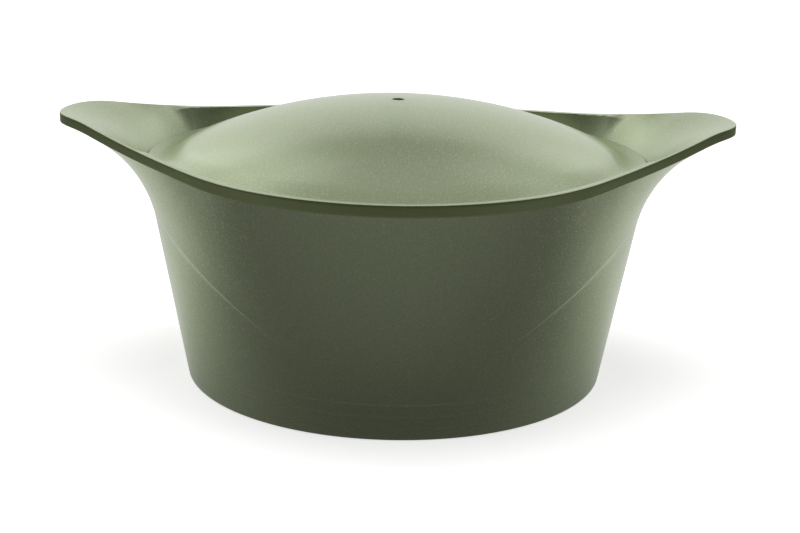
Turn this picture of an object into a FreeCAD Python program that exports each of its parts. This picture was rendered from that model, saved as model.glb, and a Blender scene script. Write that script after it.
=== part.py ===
"""Casserole pot: a cast pot with two wing handles, and a loose domed lid.

Millimetres, +Z up.  The origin is the middle of the base, on the surface that the
pot stands on, and the two wing handles point along +X and -X.
"""
import FreeCAD
import Part
import Sketcher
import math
import os

Vector = FreeCAD.Vector
ORIGIN, HORIZONTAL_AXIS, VERTICAL_AXIS = -1, -1, -2
START, END, CENTRE = range(1, 4)

# Driving dimensions: name, value and what it measures.
SIZES = (
    ("base_radius", 101.1, "radius of the wall's cone at the base"),
    ("wall_draft", 10.3, "lean of the wall, degrees"),
    ("wall_thickness", 4.2, "thickness of the wall"),
    ("foot_bevel", 1.6, "bevel under the wall"),
    ("floor_thickness", 6.0, "thickness of the floor"),
    ("floor_round", 14.0, "rounding between floor and wall inside"),
    ("rim_top", 110.4, "height of the rim at the middle of the front"),
    ("lip_reach", 3.3, "from the wall's cone out to the lip at the rim's top"),
    ("lip_depth", 5.1, "height of the lip's outer face along the round part"),
    ("lip_overhang", 1.8, "how far the lip stands out over the wall"),
    ("rim_land", 4.0, "width of the rim's flat top along the round part"),
    ("rim_edge_bevel", 0.5, "bevel of the rim's upper outer edge"),
    ("wing_flank", 45.0, "where the flank of a wing leaves the round rim, degrees"),
    ("wing_nose", 37.1, "radius of the tip of a wing seen from above"),
    ("wing_edge", 4.5, "height of the outer face of a wing"),
    ("wing_overhang", 0.3, "how far a wing's edge stands out over its underside"),
    ("wing_land", 1.5, "width of the flat top along the edge of a wing"),
    ("dip_half", 56.0, "half length of the shallow dip in the rim seen from the front"),
    ("dip_bend", 1550.0, "bend radius of that dip"),
    ("rise_bend", 404.0, "bend radius of the rim where it climbs to a wing"),
    ("crown_run", 19.3, "length of the crown at the tip of a wing"),
    ("crown_bend", 62.0, "bend radius of that crown"),
    ("crease_foot", 5.0, "height of the crease plane at the middle"),
    ("crease_rise", 0.71, "rise of the crease plane towards a wing"),
    ("crease_kink", 10.0, "turn of the wall across the crease below a wing, degrees"),
    ("crease_span", 60.0, "how far round from a wing the crease fades out, degrees"),
    ("flare_fullness", 0.69, "how closely the flare keeps to its two tangents"),
    ("flare_share", 0.2, "share of the wall's turn that is left under the round rim"),
    ("tip_slope", 24.0, "slope of the flare under the edge of a wing, degrees"),
    ("trough_turn", 23.0, "turn of a wing's upper face from its chord, degrees"),
    ("seat_depth", 6.6, "from the rim's top down to the seat of the lid"),
    ("seat_inset", 4.8, "from the rim's outer face in to the mouth at the seat"),
    ("ring_low", 5.7, "height of the lowest of the fine rings round the wall"),
    ("ring_step", 6.1, "step from one fine ring to the next"),
    ("ring_depth", 0.25, "depth of a fine ring"),
    ("ring_width", 1.0, "width of a fine ring"),
    ("disc_radius", 84.0, "radius of the steel base disc"),
    ("disc_thickness", 1.6, "thickness of the steel base disc"),
    ("disc_gap", 0.2, "clearance round the base disc"),
    ("lid_gap", 0.8, "clearance between the lid and the mouth"),
    ("lid_thickness", 3.2, "thickness of the lid"),
    ("dome_bend", 250.0, "bend radius of the dome"),
    ("brim_width", 18.5, "from the lid's edge in to where the dome turns down"),
    ("brim_height", 2.6, "from the seat up to the upper edge of the brim"),
    ("shoulder_bend", 20.0, "bend radius of that turn"),
    ("shoulder_angle", 48.0, "steepest slope above the valley, degrees"),
    ("valley_bend", 6.0, "bend radius of the valley"),
    ("brim_angle", 10.0, "slope of the brim, degrees"),
    ("brim_edge_bevel", 0.6, "bevel of the brim's upper edge"),
    ("drip_drop", 2.0, "how far the drip ring reaches below the seat"),
    ("drip_gap", 0.6, "clearance between the drip ring and the wall"),
    ("drip_width", 9.0, "width of the drip ring"),
    ("vent_radius", 3.0, "radius of the steam vent"),
    ("cut_allowance", 3.0, "how far stock and cutting solids reach past what they shape"),
)

# Sizes worked out from the driving dimensions.
DERIVED = (
    ("rim_radius", "=base_radius + rim_top * tan(wall_draft * 1deg) + lip_reach"),
    ("wing_reach", "=(rim_radius - wing_nose * (1 - cos(wing_flank * 1deg))) / cos(wing_flank * 1deg)"),
    ("nose_centre", "=wing_reach - wing_nose"),
    ("crown_start", "=wing_reach - crown_run"),
    ("seat_height", "=rim_top - seat_depth"),
    ("seat_radius", "=rim_radius - seat_inset"),
    ("wall_inset", "=wall_thickness / cos(wall_draft * 1deg)"),
    ("lid_radius", "=seat_radius - lid_gap"),
    ("drip_radius", "=base_radius + seat_height * tan(wall_draft * 1deg) - wall_inset - drip_gap"),
    ("hollow_radius", "=drip_radius - drip_width"),
    ("drip_height", "=seat_height - drip_drop"),
    ("dome_edge", "=lid_radius - brim_width"),
    ("dome_slope", "=asin(dome_edge / dome_bend) / 1deg"),
    ("fold_radius", "=dome_edge + shoulder_bend * (sin(shoulder_angle * 1deg) - sin(dome_slope * 1deg))"),
    ("valley_centre", "=fold_radius + valley_bend * sin(shoulder_angle * 1deg)"),
    ("valley_radius", "=valley_centre + valley_bend * sin(brim_angle * 1deg)"),
    ("brim_top", "=seat_height + brim_height"),
    ("brim_drop", "=brim_edge_bevel * tan(brim_angle * 1deg)"),
    ("brim_inner", "=lid_radius - brim_edge_bevel"),
    ("brim_inner_height", "=brim_top - brim_drop"),
    ("brim_outer_height", "=brim_top - brim_edge_bevel"),
    ("valley_height", "=brim_top - (lid_radius - valley_radius) * tan(brim_angle * 1deg)"),
    ("valley_centre_height", "=valley_height + valley_bend * cos(brim_angle * 1deg)"),
    ("fold_height", "=valley_centre_height - valley_bend * cos(shoulder_angle * 1deg)"),
    ("shoulder_centre", "=fold_radius - shoulder_bend * sin(shoulder_angle * 1deg)"),
    ("shoulder_centre_height", "=fold_height - shoulder_bend * cos(shoulder_angle * 1deg)"),
    ("dome_foot", "=shoulder_centre_height + shoulder_bend * cos(dome_slope * 1deg)"),
    ("dome_centre", "=dome_foot - dome_bend * cos(dome_slope * 1deg)"),
    ("lid_apex", "=dome_centre + dome_bend"),
    ("cavity_top", "=seat_height + cut_allowance"),
    ("cavity_top_radius", "=base_radius + cavity_top * tan(wall_draft * 1deg) - wall_inset"),
    ("floor_centre_height", "=floor_thickness + floor_round"),
    (
        "floor_centre",
        "=base_radius + floor_centre_height * tan(wall_draft * 1deg) - wall_inset"
        " - floor_round / cos(wall_draft * 1deg)",
    ),
    ("stock_top", "=lid_apex + wing_reach / 4"),
)
RING_COUNT = 3
FLOOR_STEPS = 4
SHOULDER_STEPS = 2
VALLEY_STEPS = 3

doc = FreeCAD.newDocument("casserole_pot")
sheet = doc.addObject("Spreadsheet::Sheet", "sizes")
for row, (alias, value, note) in enumerate(SIZES, start=1):
    sheet.set("A%d" % row, note)
    sheet.set("B%d" % row, str(value))
    sheet.setAlias("B%d" % row, alias)
next_row = len(SIZES) + 1


def add_formula(alias, formula):
    """One more worked-out size at the foot of the sheet."""
    global next_row
    sheet.set("B%d" % next_row, formula)
    sheet.setAlias("B%d" % next_row, alias)
    next_row += 1


for alias, formula in DERIVED:
    add_formula(alias, formula)


def add_bend_corners(name, steps, centre, radius, first_angle, last_angle):
    """Corners of a bend in straight steps, as sheet cells: a corner is (radius, height)."""
    corners = []
    for step in range(steps + 1):
        angle = "(%s + (%s - %s) * %d / %d) * 1deg" % (first_angle, last_angle, first_angle, step, steps)
        add_formula("%s_x_%d" % (name, step), "=%s + %s * sin(%s)" % (centre[0], radius, angle))
        add_formula("%s_z_%d" % (name, step), "=%s - %s * cos(%s)" % (centre[1], radius, angle))
        corners.append(("%s_x_%d" % (name, step), "%s_z_%d" % (name, step)))
    return corners


floor_corners = add_bend_corners(
    "floor", FLOOR_STEPS, ("floor_centre", "floor_centre_height"), "floor_round", "0", "(90 - wall_draft)"
)
valley_corners = add_bend_corners(
    "valley", VALLEY_STEPS, ("valley_centre", "valley_centre_height"), "valley_bend", "brim_angle",
    "(-shoulder_angle)",
)
shoulder_corners = add_bend_corners(
    "shoulder", SHOULDER_STEPS, ("shoulder_centre", "shoulder_centre_height"), "shoulder_bend",
    "(180 - shoulder_angle)", "(180 - dome_slope)",
)
ring_corners = []
for count in range(RING_COUNT):
    deep, low, high = ["ring_%d_%s" % (count + 1, part) for part in ("middle", "low", "high")]
    add_formula(deep, "=ring_low + %d * ring_step" % count)
    add_formula(low, "=%s - ring_width" % deep)
    add_formula(high, "=%s + ring_width" % deep)
    wall, inner, outer = ["ring_%d_%s" % (count + 1, part) for part in ("wall", "inner", "outer")]
    add_formula(wall, "=base_radius + %s * tan(wall_draft * 1deg)" % deep)
    add_formula(inner, "=%s - ring_depth" % wall)
    add_formula(outer, "=%s + ring_depth" % wall)
    ring_corners.append([(inner, deep), (outer, low), (outer, high)])
doc.recompute()


def size(alias):
    """The value of one dimension, read from the sheet."""
    return float(sheet.get(alias))


def bind(target, **formulas):
    """Bind properties of an object to the sheet."""
    for name, formula in formulas.items():
        target.setExpression(name, formula)


# The rim seen from the front, and the sections of wall and wings.  A "turn" is
# measured round the axis from +X, in radians.  A point of the section at that turn
# is (radius, height).

FLANK = math.radians(size("wing_flank"))
BLEND_START = 0.75
BLEND_LENGTH = 0.35
CREASE_SOFTNESS = 0.2
LEAST_BULGE_DEGREES = 0.5
EVEN_FULLNESS = 2.0 / 3.0
RUN_ON = 0.15
TROUGH_BANDS = 5


def wall_radius(height):
    """Outer radius of the wall's cone at a height."""
    return size("base_radius") + height * math.tan(math.radians(size("wall_draft")))


def turn_from_wing(turn):
    """Angle from the nearest wing's axis, from 0 to a quarter turn."""
    return math.atan2(abs(math.sin(turn)), abs(math.cos(turn)))


def wing_share(turn):
    """1 along a wing, 0 along the round rim, with a smooth change where they meet."""
    position = (turn_from_wing(turn) / FLANK - BLEND_START) / BLEND_LENGTH
    position = min(1.0, max(0.0, position))
    return 1 - position * position * (3 - 2 * position)


def fade_from_wing(turn, span_degrees):
    """1 on a wing's axis, which falls smoothly to 0 at a span round from it."""
    span = math.radians(span_degrees)
    return math.cos(min(1.0, turn_from_wing(turn) / span) * math.pi / 2) ** 2


def shared(turn, wing_size, round_size):
    """A size that is one value along a wing and another along the round rim."""
    share = wing_share(turn)
    return share * size(wing_size) + (1 - share) * size(round_size)


def rim_radius_at(turn):
    """Distance from the axis to the rim's outer face: round, flank or tip of a wing."""
    angle = turn_from_wing(turn)
    if angle >= FLANK:
        return size("rim_radius")
    tip_side = size("wing_nose") * math.sin(FLANK)
    tip_front = size("nose_centre") + size("wing_nose") * math.cos(FLANK)
    if angle >= math.atan2(tip_side, tip_front):
        return size("rim_radius") / math.cos(FLANK - angle)
    beside = size("nose_centre") * math.sin(angle)
    return size("nose_centre") * math.cos(angle) + math.sqrt(size("wing_nose") ** 2 - beside ** 2)


def arc_climb(run, bend, start_slope):
    """Height gained over a run along an arc that starts at a slope and bends upwards."""
    end_slope = math.asin(math.sin(start_slope) + run / bend)
    return bend * (math.cos(start_slope) - math.cos(end_slope))


DIP_SLOPE = math.asin(size("dip_half") / size("dip_bend"))
RISE_RUN = size("crown_start") - size("dip_half")
RISE_SLOPE = math.asin(math.sin(DIP_SLOPE) + RISE_RUN / size("rise_bend"))


def rim_height_at(offset):
    """Height of the rim's top at a distance from the middle, seen from the front."""
    offset = abs(offset)
    height = size("rim_top") + arc_climb(min(offset, size("dip_half")), size("dip_bend"), 0)
    if offset > size("dip_half"):
        run = min(offset, size("crown_start")) - size("dip_half")
        height += arc_climb(run, size("rise_bend"), DIP_SLOPE)
    if offset > size("crown_start"):
        height += arc_climb(offset - size("crown_start"), -size("crown_bend"), RISE_SLOPE)
    return height


def crease_point(turn):
    """Where the wall's cone turns into the flare: the cone cut by a sloping plane."""
    spread = CREASE_SOFTNESS ** 2
    across = math.sqrt((math.cos(turn) ** 2 + spread) / (1 + spread))
    rise = size("crease_rise") * across
    lean = math.tan(math.radians(size("wall_draft")))
    height = (size("crease_foot") + rise * size("base_radius")) / (1 - rise * lean)
    return wall_radius(height), height


def flare_top(turn):
    """Where the flare ends, under the lip or the edge of a wing."""
    radius = rim_radius_at(turn)
    height = rim_height_at(radius * math.cos(turn))
    overhang = shared(turn, "wing_overhang", "lip_overhang")
    depth = shared(turn, "wing_edge", "lip_depth")
    return radius - overhang, height - depth


def land_edge(turn):
    """Inner edge of the rim's flat top."""
    radius = rim_radius_at(turn) - shared(turn, "wing_land", "rim_land")
    return radius, rim_height_at(radius * math.cos(turn))


def bent_section(low, high, low_slope, high_slope, fullness):
    """Control points of a curve from low to high that keeps a slope at each end."""
    run = high[0] - low[0]
    climb = high[1] - low[1]
    reach = (climb * math.cos(high_slope) - run * math.sin(high_slope)) / math.sin(low_slope - high_slope)
    corner = (low[0] + reach * math.cos(low_slope), low[1] + reach * math.sin(low_slope))
    near_low = [end + fullness * (mid - end) for end, mid in zip(low, corner)]
    near_high = [end + fullness * (mid - end) for end, mid in zip(high, corner)]
    return low, near_low, near_high, high


def flare_section(turn):
    """Section of the wall above the crease, from the crease to the lip."""
    low = crease_point(turn)
    high = flare_top(turn)
    kink = size("crease_kink") * fade_from_wing(turn, size("crease_span"))
    start = math.radians(90 - size("wall_draft") - kink)
    chord = math.atan2(high[1] - low[1], high[0] - low[0])
    round_end = chord - size("flare_share") * (start - chord)
    fade = fade_from_wing(turn, size("wing_flank"))
    end = fade * math.radians(size("tip_slope")) + (1 - fade) * round_end
    return bent_section(low, high, start, end, size("flare_fullness"))


def trough_section(turn):
    """Section of a wing's upper face and of the mouth, from the seat's edge to the land."""
    low = (size("seat_radius"), size("seat_height"))
    high = land_edge(turn)
    chord = math.atan2(high[1] - low[1], high[0] - low[0])
    fade = fade_from_wing(turn, size("wing_flank"))
    bulge = math.radians(LEAST_BULGE_DEGREES + size("trough_turn") * fade)
    return bent_section(low, high, chord + bulge, chord - bulge, EVEN_FULLNESS)


def run_on(section):
    """The same section, carried on past its high end by a share of its length."""
    share = 1 + RUN_ON
    points = [section]
    for _ in range(3):
        last = points[-1]
        points.append([
            tuple(a + share * (b - a) for a, b in zip(start, end)) for start, end in zip(last, last[1:])
        ])
    return [row[0] for row in points]


def turn_stations():
    """Turns, in degrees, that fix the closed curves: close together round the wing tips."""
    steps = (4, 4, 4, 5, 5, 6, 7, 8, 10, 12, 12, 13)
    quarter = [sum(steps[:count]) for count in range(len(steps) + 1)]
    half = quarter[:-1] + [180 - angle for angle in reversed(quarter[1:])]
    whole = half + [180 + angle for angle in half]
    rear = whole.index(90)
    return whole[rear:] + [360 + angle for angle in whole[:rear + 1]]


STATIONS = turn_stations()


def closed_curve(rule):
    """A smooth closed curve round the axis through rule(turn) = (radius, height)."""
    points = []
    for angle in STATIONS[:-1]:
        turn = math.radians(angle)
        radius, height = rule(turn)
        points.append(Vector(radius * math.cos(turn), radius * math.sin(turn), height))
    curve = Part.BSplineCurve()
    parameters = [float(angle) for angle in STATIONS]
    curve.interpolate(Points=points, PeriodicFlag=True, Parameters=parameters)
    return curve


def closed_wire(rule):
    """The same curve as a wire."""
    return Part.Wire([closed_curve(rule).toShape()])


def control_point(section, number):
    """Rule for the path of one of a section's control points round the axis."""
    return lambda turn: section(turn)[number]


def section_point(section, share):
    """Rule for the path of the section's point at a share of its way from low to high."""
    rest = 1 - share
    weights = (rest ** 3, 3 * rest ** 2 * share, 3 * rest * share ** 2, share ** 3)
    return lambda turn: tuple(
        sum(weight * point[axis] for weight, point in zip(weights, section(turn))) for axis in (0, 1)
    )


def swept_band(section):
    """The surface that a section of four control points leaves on its way round the axis."""
    paths = [closed_curve(control_point(section, number)) for number in range(4)]
    poles = [list(row) for row in zip(*[path.getPoles() for path in paths])]
    surface = Part.BSplineSurface()
    surface.buildFromPolesMultsKnots(
        poles, paths[0].getMultiplicities(), (4, 4), paths[0].getKnots(), (0.0, 1.0), True, False, 3, 3
    )
    return surface.toShape()


def ruled_band(wires):
    """Straight-sided surface through closed curves."""
    return Part.makeLoft(wires, False, True).Faces


def closed_solid(faces):
    """Solid from faces that meet along their edges."""
    skin = Part.makeCompound(faces)
    skin.sewShape(0.001)
    solid = Part.Solid(skin.Shells[0])
    if solid.Volume < 0:
        solid.reverse()
    return solid


def outer_skin():
    """The casting's outside up to the lip, then the bevel of the rim's edge, and stock above."""
    foot_bevel = size("foot_bevel")
    rim_bevel = size("rim_edge_bevel")

    def past_bevel(turn):
        """How far the bevel's slope is carried on past the rim's outer face and past its top."""
        return (shared(turn, "wing_edge", "lip_depth") - rim_bevel) / 2

    def beside(turn):
        """The bevel's slope, carried on outside the rim, at the height of the flare's top."""
        return rim_radius_at(turn) + past_bevel(turn), flare_top(turn)[1]

    def below_bevel(turn):
        """The low end of the bevel's slope."""
        radius = rim_radius_at(turn)
        height = rim_height_at(radius * math.cos(turn))
        return radius + past_bevel(turn), height - rim_bevel - past_bevel(turn)

    def above_bevel(turn):
        """The high end of the bevel's slope."""
        radius = rim_radius_at(turn)
        height = rim_height_at(radius * math.cos(turn))
        return radius - rim_bevel - past_bevel(turn), height + past_bevel(turn)

    def above(turn):
        """The same point, at the top of the stock."""
        return above_bevel(turn)[0], size("stock_top")

    base = closed_wire(lambda turn: (wall_radius(0) - foot_bevel, 0.0))
    foot = closed_wire(lambda turn: (wall_radius(foot_bevel), foot_bevel))
    rim = [closed_wire(rule) for rule in (flare_top, beside, below_bevel, above_bevel, above)]
    faces = ruled_band([base, foot, closed_wire(crease_point)]) + [swept_band(flare_section)]
    faces += ruled_band(rim) + [Part.Face(base), Part.Face(rim[-1])]
    return closed_solid(faces)


def trough_space():
    """The space above the seat and the wings' upper faces."""

    def upper_face(turn):
        """Section of the upper face, carried on past the land's inner edge."""
        return run_on(trough_section(turn))

    def above(turn):
        """The point over the high end of that section, at the top of the stock."""
        return upper_face(turn)[3][0], size("stock_top") + size("cut_allowance")

    shares = [step / TROUGH_BANDS for step in range(TROUGH_BANDS + 1)]
    wires = [closed_wire(section_point(upper_face, share)) for share in shares]
    top = closed_wire(above)
    faces = ruled_band(wires + [top]) + [Part.Face(wires[0]), Part.Face(top)]
    return closed_solid(faces)


# Sketch helpers.

def arc(centre_x, centre_y, radius, start_degrees, end_degrees):
    """Arc of a circle, counter-clockwise from start to end."""
    circle = Part.Circle(Vector(centre_x, centre_y, 0), Vector(0, 0, 1), radius)
    return Part.ArcOfCircle(circle, math.radians(start_degrees), math.radians(end_degrees))


def line(start_x, start_y, end_x, end_y):
    """Straight line."""
    return Part.LineSegment(Vector(start_x, start_y, 0), Vector(end_x, end_y, 0))


def point_at(centre_x, centre_y, radius, degrees):
    """Point of a circle at an angle."""
    turn = math.radians(degrees)
    return centre_x + radius * math.cos(turn), centre_y + radius * math.sin(turn)


def add_rules(sketch, rules):
    """Constraints without a value."""
    for rule in rules:
        sketch.addConstraint(Sketcher.Constraint(*rule))


def add_measures(sketch, measures):
    """Constraints with a value that is bound to the sheet."""
    for kind, where, start_value, formula in measures:
        index = sketch.addConstraint(Sketcher.Constraint(kind, *where, start_value))
        sketch.setExpression("Constraints[%d]" % index, formula)


def front_view_sketch(name):
    """A sketch in the XZ plane, which belongs to no body."""
    sketch = doc.addObject("Sketcher::SketchObject", name)
    turn = FreeCAD.Rotation(Vector(1, 0, 0), 90)
    sketch.Placement = FreeCAD.Placement(Vector(), turn)
    return sketch


def body_sketch(body, name, plane_role):
    """A sketch on one of a body's own origin planes."""
    sketch = body.newObject("Sketcher::SketchObject", name)
    plane = [item for item in body.Origin.OriginFeatures if item.Role == plane_role][0]
    sketch.AttachmentSupport = [(plane, "")]
    sketch.MapMode = "FlatFace"
    return sketch


def turned_profile(name, corners):
    """A solid made by a full turn of a straight-sided section, whose corners are sheet cells."""
    sketch = front_view_sketch(name + "_section")
    spots = [tuple(size(alias) if alias else 0.0 for alias in corner) for corner in corners]
    ends = spots[1:] + spots[:1]
    sketch.addGeometry([line(*start, *end) for start, end in zip(spots, ends)], False)
    last = len(corners) - 1
    add_rules(sketch, [("Coincident", item, END, item + 1, START) for item in range(last)])
    add_rules(sketch, (("Coincident", last, END, 0, START),))
    for item, (alias_x, alias_z) in enumerate(corners):
        here = (ORIGIN, START, item, START)
        if alias_x:
            add_measures(sketch, (("DistanceX", here, spots[item][0], "sizes." + alias_x),))
        else:
            add_rules(sketch, (("PointOnObject", item, START, VERTICAL_AXIS),))
        add_measures(sketch, (("DistanceY", here, spots[item][1], "sizes." + alias_z),))
    turned = doc.addObject("Part::Revolution", name)
    turned.Source = sketch
    turned.Axis = Vector(0, 0, 1)
    turned.Angle = 360
    turned.Solid = True
    return turned


# The pot: outline seen from above.

plan = doc.addObject("Sketcher::SketchObject", "rim_plan")
flank_degrees = size("wing_flank")
rim_out = size("rim_radius")
nose_out = size("wing_nose")
nose_x = size("nose_centre")
rim_right, rim_side = point_at(0, 0, rim_out, flank_degrees)
tip_right, tip_side = point_at(nose_x, 0, nose_out, flank_degrees)
plan.addGeometry([
    arc(nose_x, 0, nose_out, -flank_degrees, flank_degrees),
    line(tip_right, tip_side, rim_right, rim_side),
    arc(0, 0, rim_out, flank_degrees, 180 - flank_degrees),
    line(-rim_right, rim_side, -tip_right, tip_side),
    arc(-nose_x, 0, nose_out, 180 - flank_degrees, 180 + flank_degrees),
    line(-tip_right, -tip_side, -rim_right, -rim_side),
    arc(0, 0, rim_out, 180 + flank_degrees, 360 - flank_degrees),
    line(rim_right, -rim_side, tip_right, -tip_side),
], False)
add_rules(plan, [("Tangent", item, END, (item + 1) % 8, START) for item in range(8)])
add_rules(plan, (
    ("Coincident", 2, CENTRE, ORIGIN, START),
    ("Coincident", 6, CENTRE, ORIGIN, START),
    ("PointOnObject", 0, CENTRE, HORIZONTAL_AXIS),
    ("PointOnObject", 4, CENTRE, HORIZONTAL_AXIS),
    ("Equal", 2, 6),
    ("Equal", 0, 4),
))
add_measures(plan, (
    ("Radius", (2,), rim_out, "sizes.rim_radius"),
    ("Radius", (0,), nose_out, "sizes.wing_nose"),
    ("DistanceX", (ORIGIN, START, 0, CENTRE), nose_x, "sizes.nose_centre"),
    ("DistanceX", (4, CENTRE, ORIGIN, START), nose_x, "sizes.nose_centre"),
))
plan_block = doc.addObject("Part::Extrusion", "plan_block")
plan_block.Base = plan
plan_block.DirMode = "Custom"
plan_block.Dir = Vector(0, 0, 1)
plan_block.Solid = True
bind(plan_block, LengthFwd="sizes.stock_top")

# The pot: everything below the line of the rim, seen from the front.

rim_line = front_view_sketch("rim_line")
dip_degrees = math.degrees(DIP_SLOPE)
rise_degrees = math.degrees(RISE_SLOPE)
dip_half = size("dip_half")
dip_bend = size("dip_bend")
rise_bend = size("rise_bend")
crown_bend = size("crown_bend")
crown_x = size("crown_start")
crown_z = rim_height_at(crown_x)
dip_z = rim_height_at(dip_half)
rise_x, rise_z = point_at(dip_half, dip_z, rise_bend, 90 + dip_degrees)
fall_x, fall_z = point_at(crown_x, crown_z, crown_bend, rise_degrees - 90)
side_x = size("wing_reach") + size("cut_allowance")
side_degrees = math.degrees(math.acos((side_x - fall_x) / crown_bend))
side_z = point_at(fall_x, fall_z, crown_bend, side_degrees)[1]
under = size("cut_allowance")
rim_line.addGeometry([
    arc(0, size("rim_top") + dip_bend, dip_bend, 270 - dip_degrees, 270 + dip_degrees),
    arc(rise_x, rise_z, rise_bend, 270 + dip_degrees, 270 + rise_degrees),
    arc(fall_x, fall_z, crown_bend, side_degrees, 90 + rise_degrees),
    line(side_x, side_z, side_x, -under),
    line(side_x, -under, -side_x, -under),
    line(-side_x, -under, -side_x, side_z),
    arc(-fall_x, fall_z, crown_bend, 90 - rise_degrees, 180 - side_degrees),
    arc(-rise_x, rise_z, rise_bend, 270 - rise_degrees, 270 - dip_degrees),
], False)
add_rules(rim_line, (
    ("Tangent", 0, END, 1, START),
    ("Tangent", 1, END, 2, END),
    ("Tangent", 0, START, 7, END),
    ("Tangent", 7, START, 6, START),
    ("Coincident", 2, START, 3, START),
    ("Coincident", 3, END, 4, START),
    ("Coincident", 4, END, 5, START),
    ("Coincident", 5, END, 6, END),
    ("Vertical", 3),
    ("Vertical", 5),
    ("Horizontal", 4),
    ("Equal", 1, 7),
    ("Equal", 2, 6),
    ("PointOnObject", 0, CENTRE, VERTICAL_AXIS),
))
add_measures(rim_line, (
    ("Radius", (0,), dip_bend, "sizes.dip_bend"),
    ("Radius", (1,), rise_bend, "sizes.rise_bend"),
    ("Radius", (2,), crown_bend, "sizes.crown_bend"),
    ("DistanceY", (ORIGIN, START, 0, CENTRE), size("rim_top") + dip_bend, "sizes.rim_top + sizes.dip_bend"),
    ("DistanceX", (ORIGIN, START, 0, END), dip_half, "sizes.dip_half"),
    ("DistanceX", (0, START, ORIGIN, START), dip_half, "sizes.dip_half"),
    ("DistanceX", (ORIGIN, START, 1, END), crown_x, "sizes.crown_start"),
    ("DistanceX", (7, START, ORIGIN, START), crown_x, "sizes.crown_start"),
    ("DistanceX", (ORIGIN, START, 3, END), side_x, "sizes.wing_reach + sizes.cut_allowance"),
    ("DistanceX", (5, START, ORIGIN, START), side_x, "sizes.wing_reach + sizes.cut_allowance"),
    ("DistanceY", (3, END, ORIGIN, START), under, "sizes.cut_allowance"),
))
under_rim = doc.addObject("Part::Extrusion", "under_rim")
under_rim.Base = rim_line
under_rim.DirMode = "Custom"
under_rim.Dir = Vector(0, 1, 0)
under_rim.Symmetric = True
under_rim.Solid = True
bind(under_rim, LengthFwd="4 * sizes.rim_radius")

# The pot: outside of wall and flares, cut to the outline and to the rim's line.

skin = doc.addObject("Part::Feature", "outer_skin")
skin.Shape = outer_skin()
skin.Placement = FreeCAD.Placement()
blank = doc.addObject("Part::MultiCommon", "pot_blank")
blank.Shapes = [skin, plan_block, under_rim]

# The pot: the cavity, which turns round the axis.

cavity = turned_profile("cavity", [(None, "floor_thickness")] + floor_corners + [
    ("cavity_top_radius", "cavity_top"),
    (None, "cavity_top"),
])

# The pot: the space above the seat and the wings.

trough = doc.addObject("Part::Feature", "mouth_and_troughs")
trough.Shape = trough_space()
trough.Placement = FreeCAD.Placement()

# The pot: three fine grooves turned into the foot of the wall.

rings = []
for count, corners in enumerate(ring_corners, start=1):
    rings.append(turned_profile("fine_ring_%d" % count, corners))

# The pot: the recess for the base disc.

recess = doc.addObject("Part::Cylinder", "disc_recess")
bind(recess, Radius="sizes.disc_radius + sizes.disc_gap", Height="2 * sizes.disc_thickness")
recess.setExpression("Placement.Base.z", "-sizes.disc_thickness")

# The pot: what is turned away, then the space above the seat.

turned_away = doc.addObject("Part::MultiFuse", "turned_away")
turned_away.Shapes = [cavity, recess] + rings
turned_pot = doc.addObject("Part::Cut", "turned_pot")
turned_pot.Base = blank
turned_pot.Tool = turned_away
pot = doc.addObject("Part::Cut", "pot_body")
pot.Base = turned_pot
pot.Tool = trough
pot.Label = "pot_body"
doc.recompute()

# The base disc: pressed into the recess, flush with the base.

disc = doc.addObject("PartDesign::Body", "base_disc")
disc.Label = "base_disc"
disc_plan = body_sketch(disc, "disc_outline", "XY_Plane")
disc_plan.addGeometry(Part.Circle(Vector(), Vector(0, 0, 1), size("disc_radius")), False)
add_rules(disc_plan, (("Coincident", 0, CENTRE, ORIGIN, START),))
add_measures(disc_plan, (("Radius", (0,), size("disc_radius"), "sizes.disc_radius"),))
plate = disc.newObject("PartDesign::Pad", "disc_plate")
plate.Profile = disc_plan
bind(plate, Length="sizes.disc_thickness")
disc.Tip = plate
doc.recompute()

# The lid: brim, valley and drip ring in half section, up to the foot of the dome.

lid_corners = [
    (None, "drip_height"),
    ("drip_radius", "drip_height"),
    ("drip_radius", "seat_height"),
    ("lid_radius", "seat_height"),
    ("lid_radius", "brim_outer_height"),
    ("brim_inner", "brim_inner_height"),
]
lid_corners += valley_corners + shoulder_corners[1:] + [(None, "dome_foot")]
lid_turning = turned_profile("lid_turning", lid_corners)

# The lid: the dome and the hollow under it, parts of two balls with one centre.


def ball(name, radius_rule):
    """A ball round the dome's centre, turned so that its seam lies clear of the lid."""
    solid = doc.addObject("Part::Sphere", name)
    solid.Placement = FreeCAD.Placement(Vector(), FreeCAD.Rotation(Vector(-1, 1, 0), 90))
    bind(solid, Radius=radius_rule)
    solid.setExpression("Placement.Base.z", "sizes.dome_centre")
    return solid


def upright_cylinder(name, radius_rule, low_rule, height_rule):
    """A cylinder on the axis."""
    solid = doc.addObject("Part::Cylinder", name)
    bind(solid, Radius=radius_rule, Height=height_rule)
    solid.setExpression("Placement.Base.z", low_rule)
    return solid


dome_ball = ball("dome_ball", "sizes.dome_bend")
dome_stock = upright_cylinder(
    "dome_stock",
    "sizes.dome_edge + sizes.cut_allowance",
    "sizes.dome_foot",
    "sizes.lid_apex - sizes.dome_foot",
)
dome = doc.addObject("Part::MultiCommon", "dome")
dome.Shapes = [dome_ball, dome_stock]
doc.recompute()


def is_dome_foot(face):
    """The flat face that the turned part and the dome have in common."""
    box = face.BoundBox
    return box.ZLength < 0.001 and abs(box.ZMin - size("dome_foot")) < 0.001


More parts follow.
